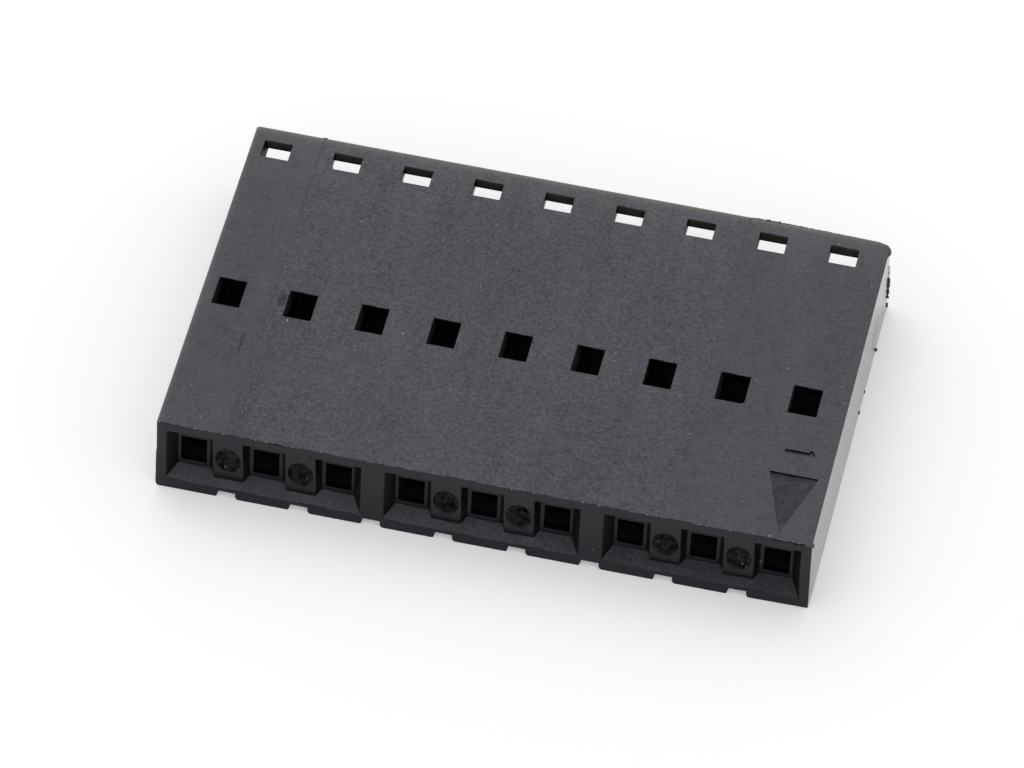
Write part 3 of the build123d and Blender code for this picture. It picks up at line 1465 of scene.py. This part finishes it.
@dataclass
class Backdrop:
    """White table that the part lies on, big enough to fill every view. Sizes are in mm."""

    reach: float = 4000.0
    colour: str = "f2f2f2"
    lift: float = 0.29

    def build(self) -> bpy.types.Object:
        """Lay the table at the part's underside.

        Returns:
            The table.
        """
        half = self.reach / 2 * MM
        mesh = bpy.data.meshes.new("table")
        corners = [(-half, -half, 0), (half, -half, 0), (half, half, 0), (-half, half, 0)]
        mesh.from_pydata(corners, [], [(0, 1, 2, 3)])
        mesh.materials.append(self.material())
        table = new_object("table", mesh)
        return table

    def material(self) -> bpy.types.Material:
        """Build a white matte laminate that camera and reflections see as a white sweep.

        Returns:
            The material.
        """
        made = bpy.data.materials.new("white_matte_laminate")
        tree = empty_tree(made)
        matte = add_node(tree, "ShaderNodeBsdfDiffuse", {"Color": linear(self.colour)})
        path = add_node(tree, "ShaderNodeLightPath").outputs
        seen = path["Is Camera Ray"]
        for ray in ("Is Glossy Ray", "Is Transmission Ray"):
            seen = add_node(tree, "ShaderNodeMath", {0: seen, 1: path[ray]}, operation="MAXIMUM")
        links = {0: seen, 1: self.lift}
        strength = add_node(tree, "ShaderNodeMath", links, operation="MULTIPLY")
        glow = add_node(tree, "ShaderNodeEmission", {"Strength": strength})
        total = add_node(tree, "ShaderNodeAddShader", {0: matte, 1: glow})
        add_node(tree, "ShaderNodeOutputMaterial", {"Surface": total})
        return made


@dataclass
class StudioLight:
    """An even pale surround and one large soft box above and behind the part. Sizes in mm."""

    surround: float = 0.87
    seen_surround: float = 1.0
    box_side: float = 300.0
    box_place: Triple = (-110.0, 150.0, 270.0)
    box_level: float = 0.16

    def build(self) -> None:
        """Light the world and hang the soft box."""
        world = bpy.data.worlds.new("pale_studio")
        bpy.context.scene.world = world
        tree = empty_tree(world)
        path = add_node(tree, "ShaderNodeLightPath").outputs
        links = {0: path["Is Camera Ray"], 1: path["Is Transmission Ray"]}
        seen = add_node(tree, "ShaderNodeMath", links, operation="MAXIMUM")
        links = {"Value": seen, "To Min": self.surround, "To Max": self.seen_surround}
        level = add_node(tree, "ShaderNodeMapRange", links)
        sky = add_node(tree, "ShaderNodeBackground", {"Strength": level})
        add_node(tree, "ShaderNodeOutputWorld", {"Surface": sky})
        place = Vector(self.box_place) * MM
        lamp = bpy.data.lights.new("soft_box", "AREA")
        lamp.shape = "SQUARE"
        lamp.size = self.box_side * MM
        # A lamp of radiance P / (pi * area) gives level * pi of irradiance straight below it.
        facing = place.normalized().z
        lamp.energy = self.box_level * math.pi * place.length_squared * math.pi / facing
        hung = bpy.data.objects.new("soft_box", lamp)
        hung.location = place
        hung.rotation_mode = "QUATERNION"
        hung.rotation_quaternion = (-place).to_track_quat("-Z", "Y")
        bpy.context.scene.collection.objects.link(hung)


@dataclass
class Viewpoint:
    """A long lens, high in front of the mating face and a little to the right."""

    place: Triple = (32.4006, -185.9214, 206.2465)
    view: Triple = (-0.117703, 0.665479, -0.737078)
    roll: float = 3.2561
    lens: float = 283.13
    sensor: float = 36.0

    def build(self) -> None:
        """Set the camera up as the scene's own."""
        data = bpy.data.cameras.new("long_lens")
        data.lens, data.sensor_width = self.lens, self.sensor
        data.sensor_fit = "HORIZONTAL"
        data.clip_start, data.clip_end = 0.01, 20.0
        camera = bpy.data.objects.new("long_lens", data)
        camera.location = Vector(self.place) * MM
        camera.rotation_mode = "QUATERNION"
        turn = Quaternion((0, 0, 1), math.radians(self.roll))
        camera.rotation_quaternion = Vector(self.view).to_track_quat("-Z", "Y") @ turn
        bpy.context.scene.collection.objects.link(camera)
        bpy.context.scene.camera = camera


def main() -> None:
    """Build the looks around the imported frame, in order."""
    logging.basicConfig(level=logging.INFO, format="%(message)s")
    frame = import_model()
    bpy.context.scene.view_settings.view_transform = "Standard"
    Viewpoint().build()
    StudioLight().build()
    Backdrop().build()
    block = HousingBody().build(frame["nodes"]["housing"])
    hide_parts("housing")
    pieces = [block]
    for part in (TornCoreMarks(), FibreFlecks(block=block), MouldFlashAndGlints(), TornSliversAndShadow()):
        pieces.append(part.build())
    for piece in pieces:
        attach(piece, "root")
        LOG.info("%s: %d faces", piece.name, len(piece.data.polygons))


if __name__ == "__main__":
    main()
